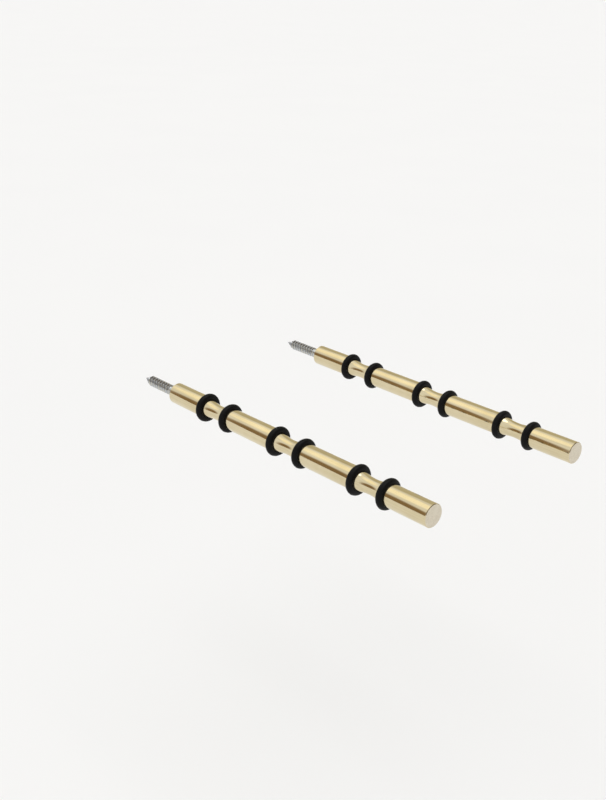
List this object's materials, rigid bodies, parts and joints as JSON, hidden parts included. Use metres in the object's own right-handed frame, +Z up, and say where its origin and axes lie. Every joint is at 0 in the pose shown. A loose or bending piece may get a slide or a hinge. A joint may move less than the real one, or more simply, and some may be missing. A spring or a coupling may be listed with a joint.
{
  "type": "wine rack",
  "caption": "Pair of round rods that stand straight out of a wall and carry wine bottles lying across them, one behind another, on paired rubber rings; each rod screws onto a hanger bolt.",
  "frame": {"origin": "on the wall's face, midway between the two rods, at the height of their axes", "axes": "+Y into the wall, so that the rods reach out towards -Y; +X to the right as seen from the front, along the bottles; +Z up"},
  "size_m": [0.1712, 0.294, 0.0212],
  "materials": {
    "polished_metal": "polished, warm nickel or champagne tone, turned and fine-brushed",
    "black_rubber": "smooth moulded rubber, semi-matt",
    "zinc_plated_steel": "bright zinc plate"
  },
  "bodies": {
    "wall_bolts": {"left_hanger_bolt": "zinc_plated_steel", "right_hanger_bolt": "zinc_plated_steel"},
    "left_ring_set": {"left_rubber_ring_1": "black_rubber", "left_rubber_ring_2": "black_rubber", "left_rubber_ring_3": "black_rubber", "left_rubber_ring_4": "black_rubber", "left_rubber_ring_5": "black_rubber", "left_rubber_ring_6": "black_rubber"},
    "left_rod_body": {"left_rod": "polished_metal"},
    "right_ring_set": {"right_rubber_ring_1": "black_rubber", "right_rubber_ring_2": "black_rubber", "right_rubber_ring_3": "black_rubber", "right_rubber_ring_4": "black_rubber", "right_rubber_ring_5": "black_rubber", "right_rubber_ring_6": "black_rubber"},
    "right_rod_body": {"right_rod": "polished_metal"}
  },
  "joints": [
    {"name": "left_peg_advance", "type": "slide", "parent": "wall_bolts", "child": "left_ring_set", "axis": [0, -1, 0], "range_m": [0, 0.02]},
    {"name": "left_peg_unscrew", "type": "hinge", "parent": "left_ring_set", "child": "left_rod_body", "pos_m": [-0.075, 0, 0], "axis": [0, -1, 0], "range_deg": [0, 5760]},
    {"name": "right_peg_advance", "type": "slide", "parent": "wall_bolts", "child": "right_ring_set", "axis": [0, -1, 0], "range_m": [0, 0.02]},
    {"name": "right_peg_unscrew", "type": "hinge", "parent": "right_ring_set", "child": "right_rod_body", "pos_m": [0.075, 0, 0], "axis": [0, -1, 0], "range_deg": [0, 5760]}
  ],
  "couplings": [
    {"joint": "left_peg_unscrew", "follows": "left_peg_advance", "rad_per_m": 5026.5},
    {"joint": "right_peg_unscrew", "follows": "right_peg_advance", "rad_per_m": 5026.5}
  ]
}
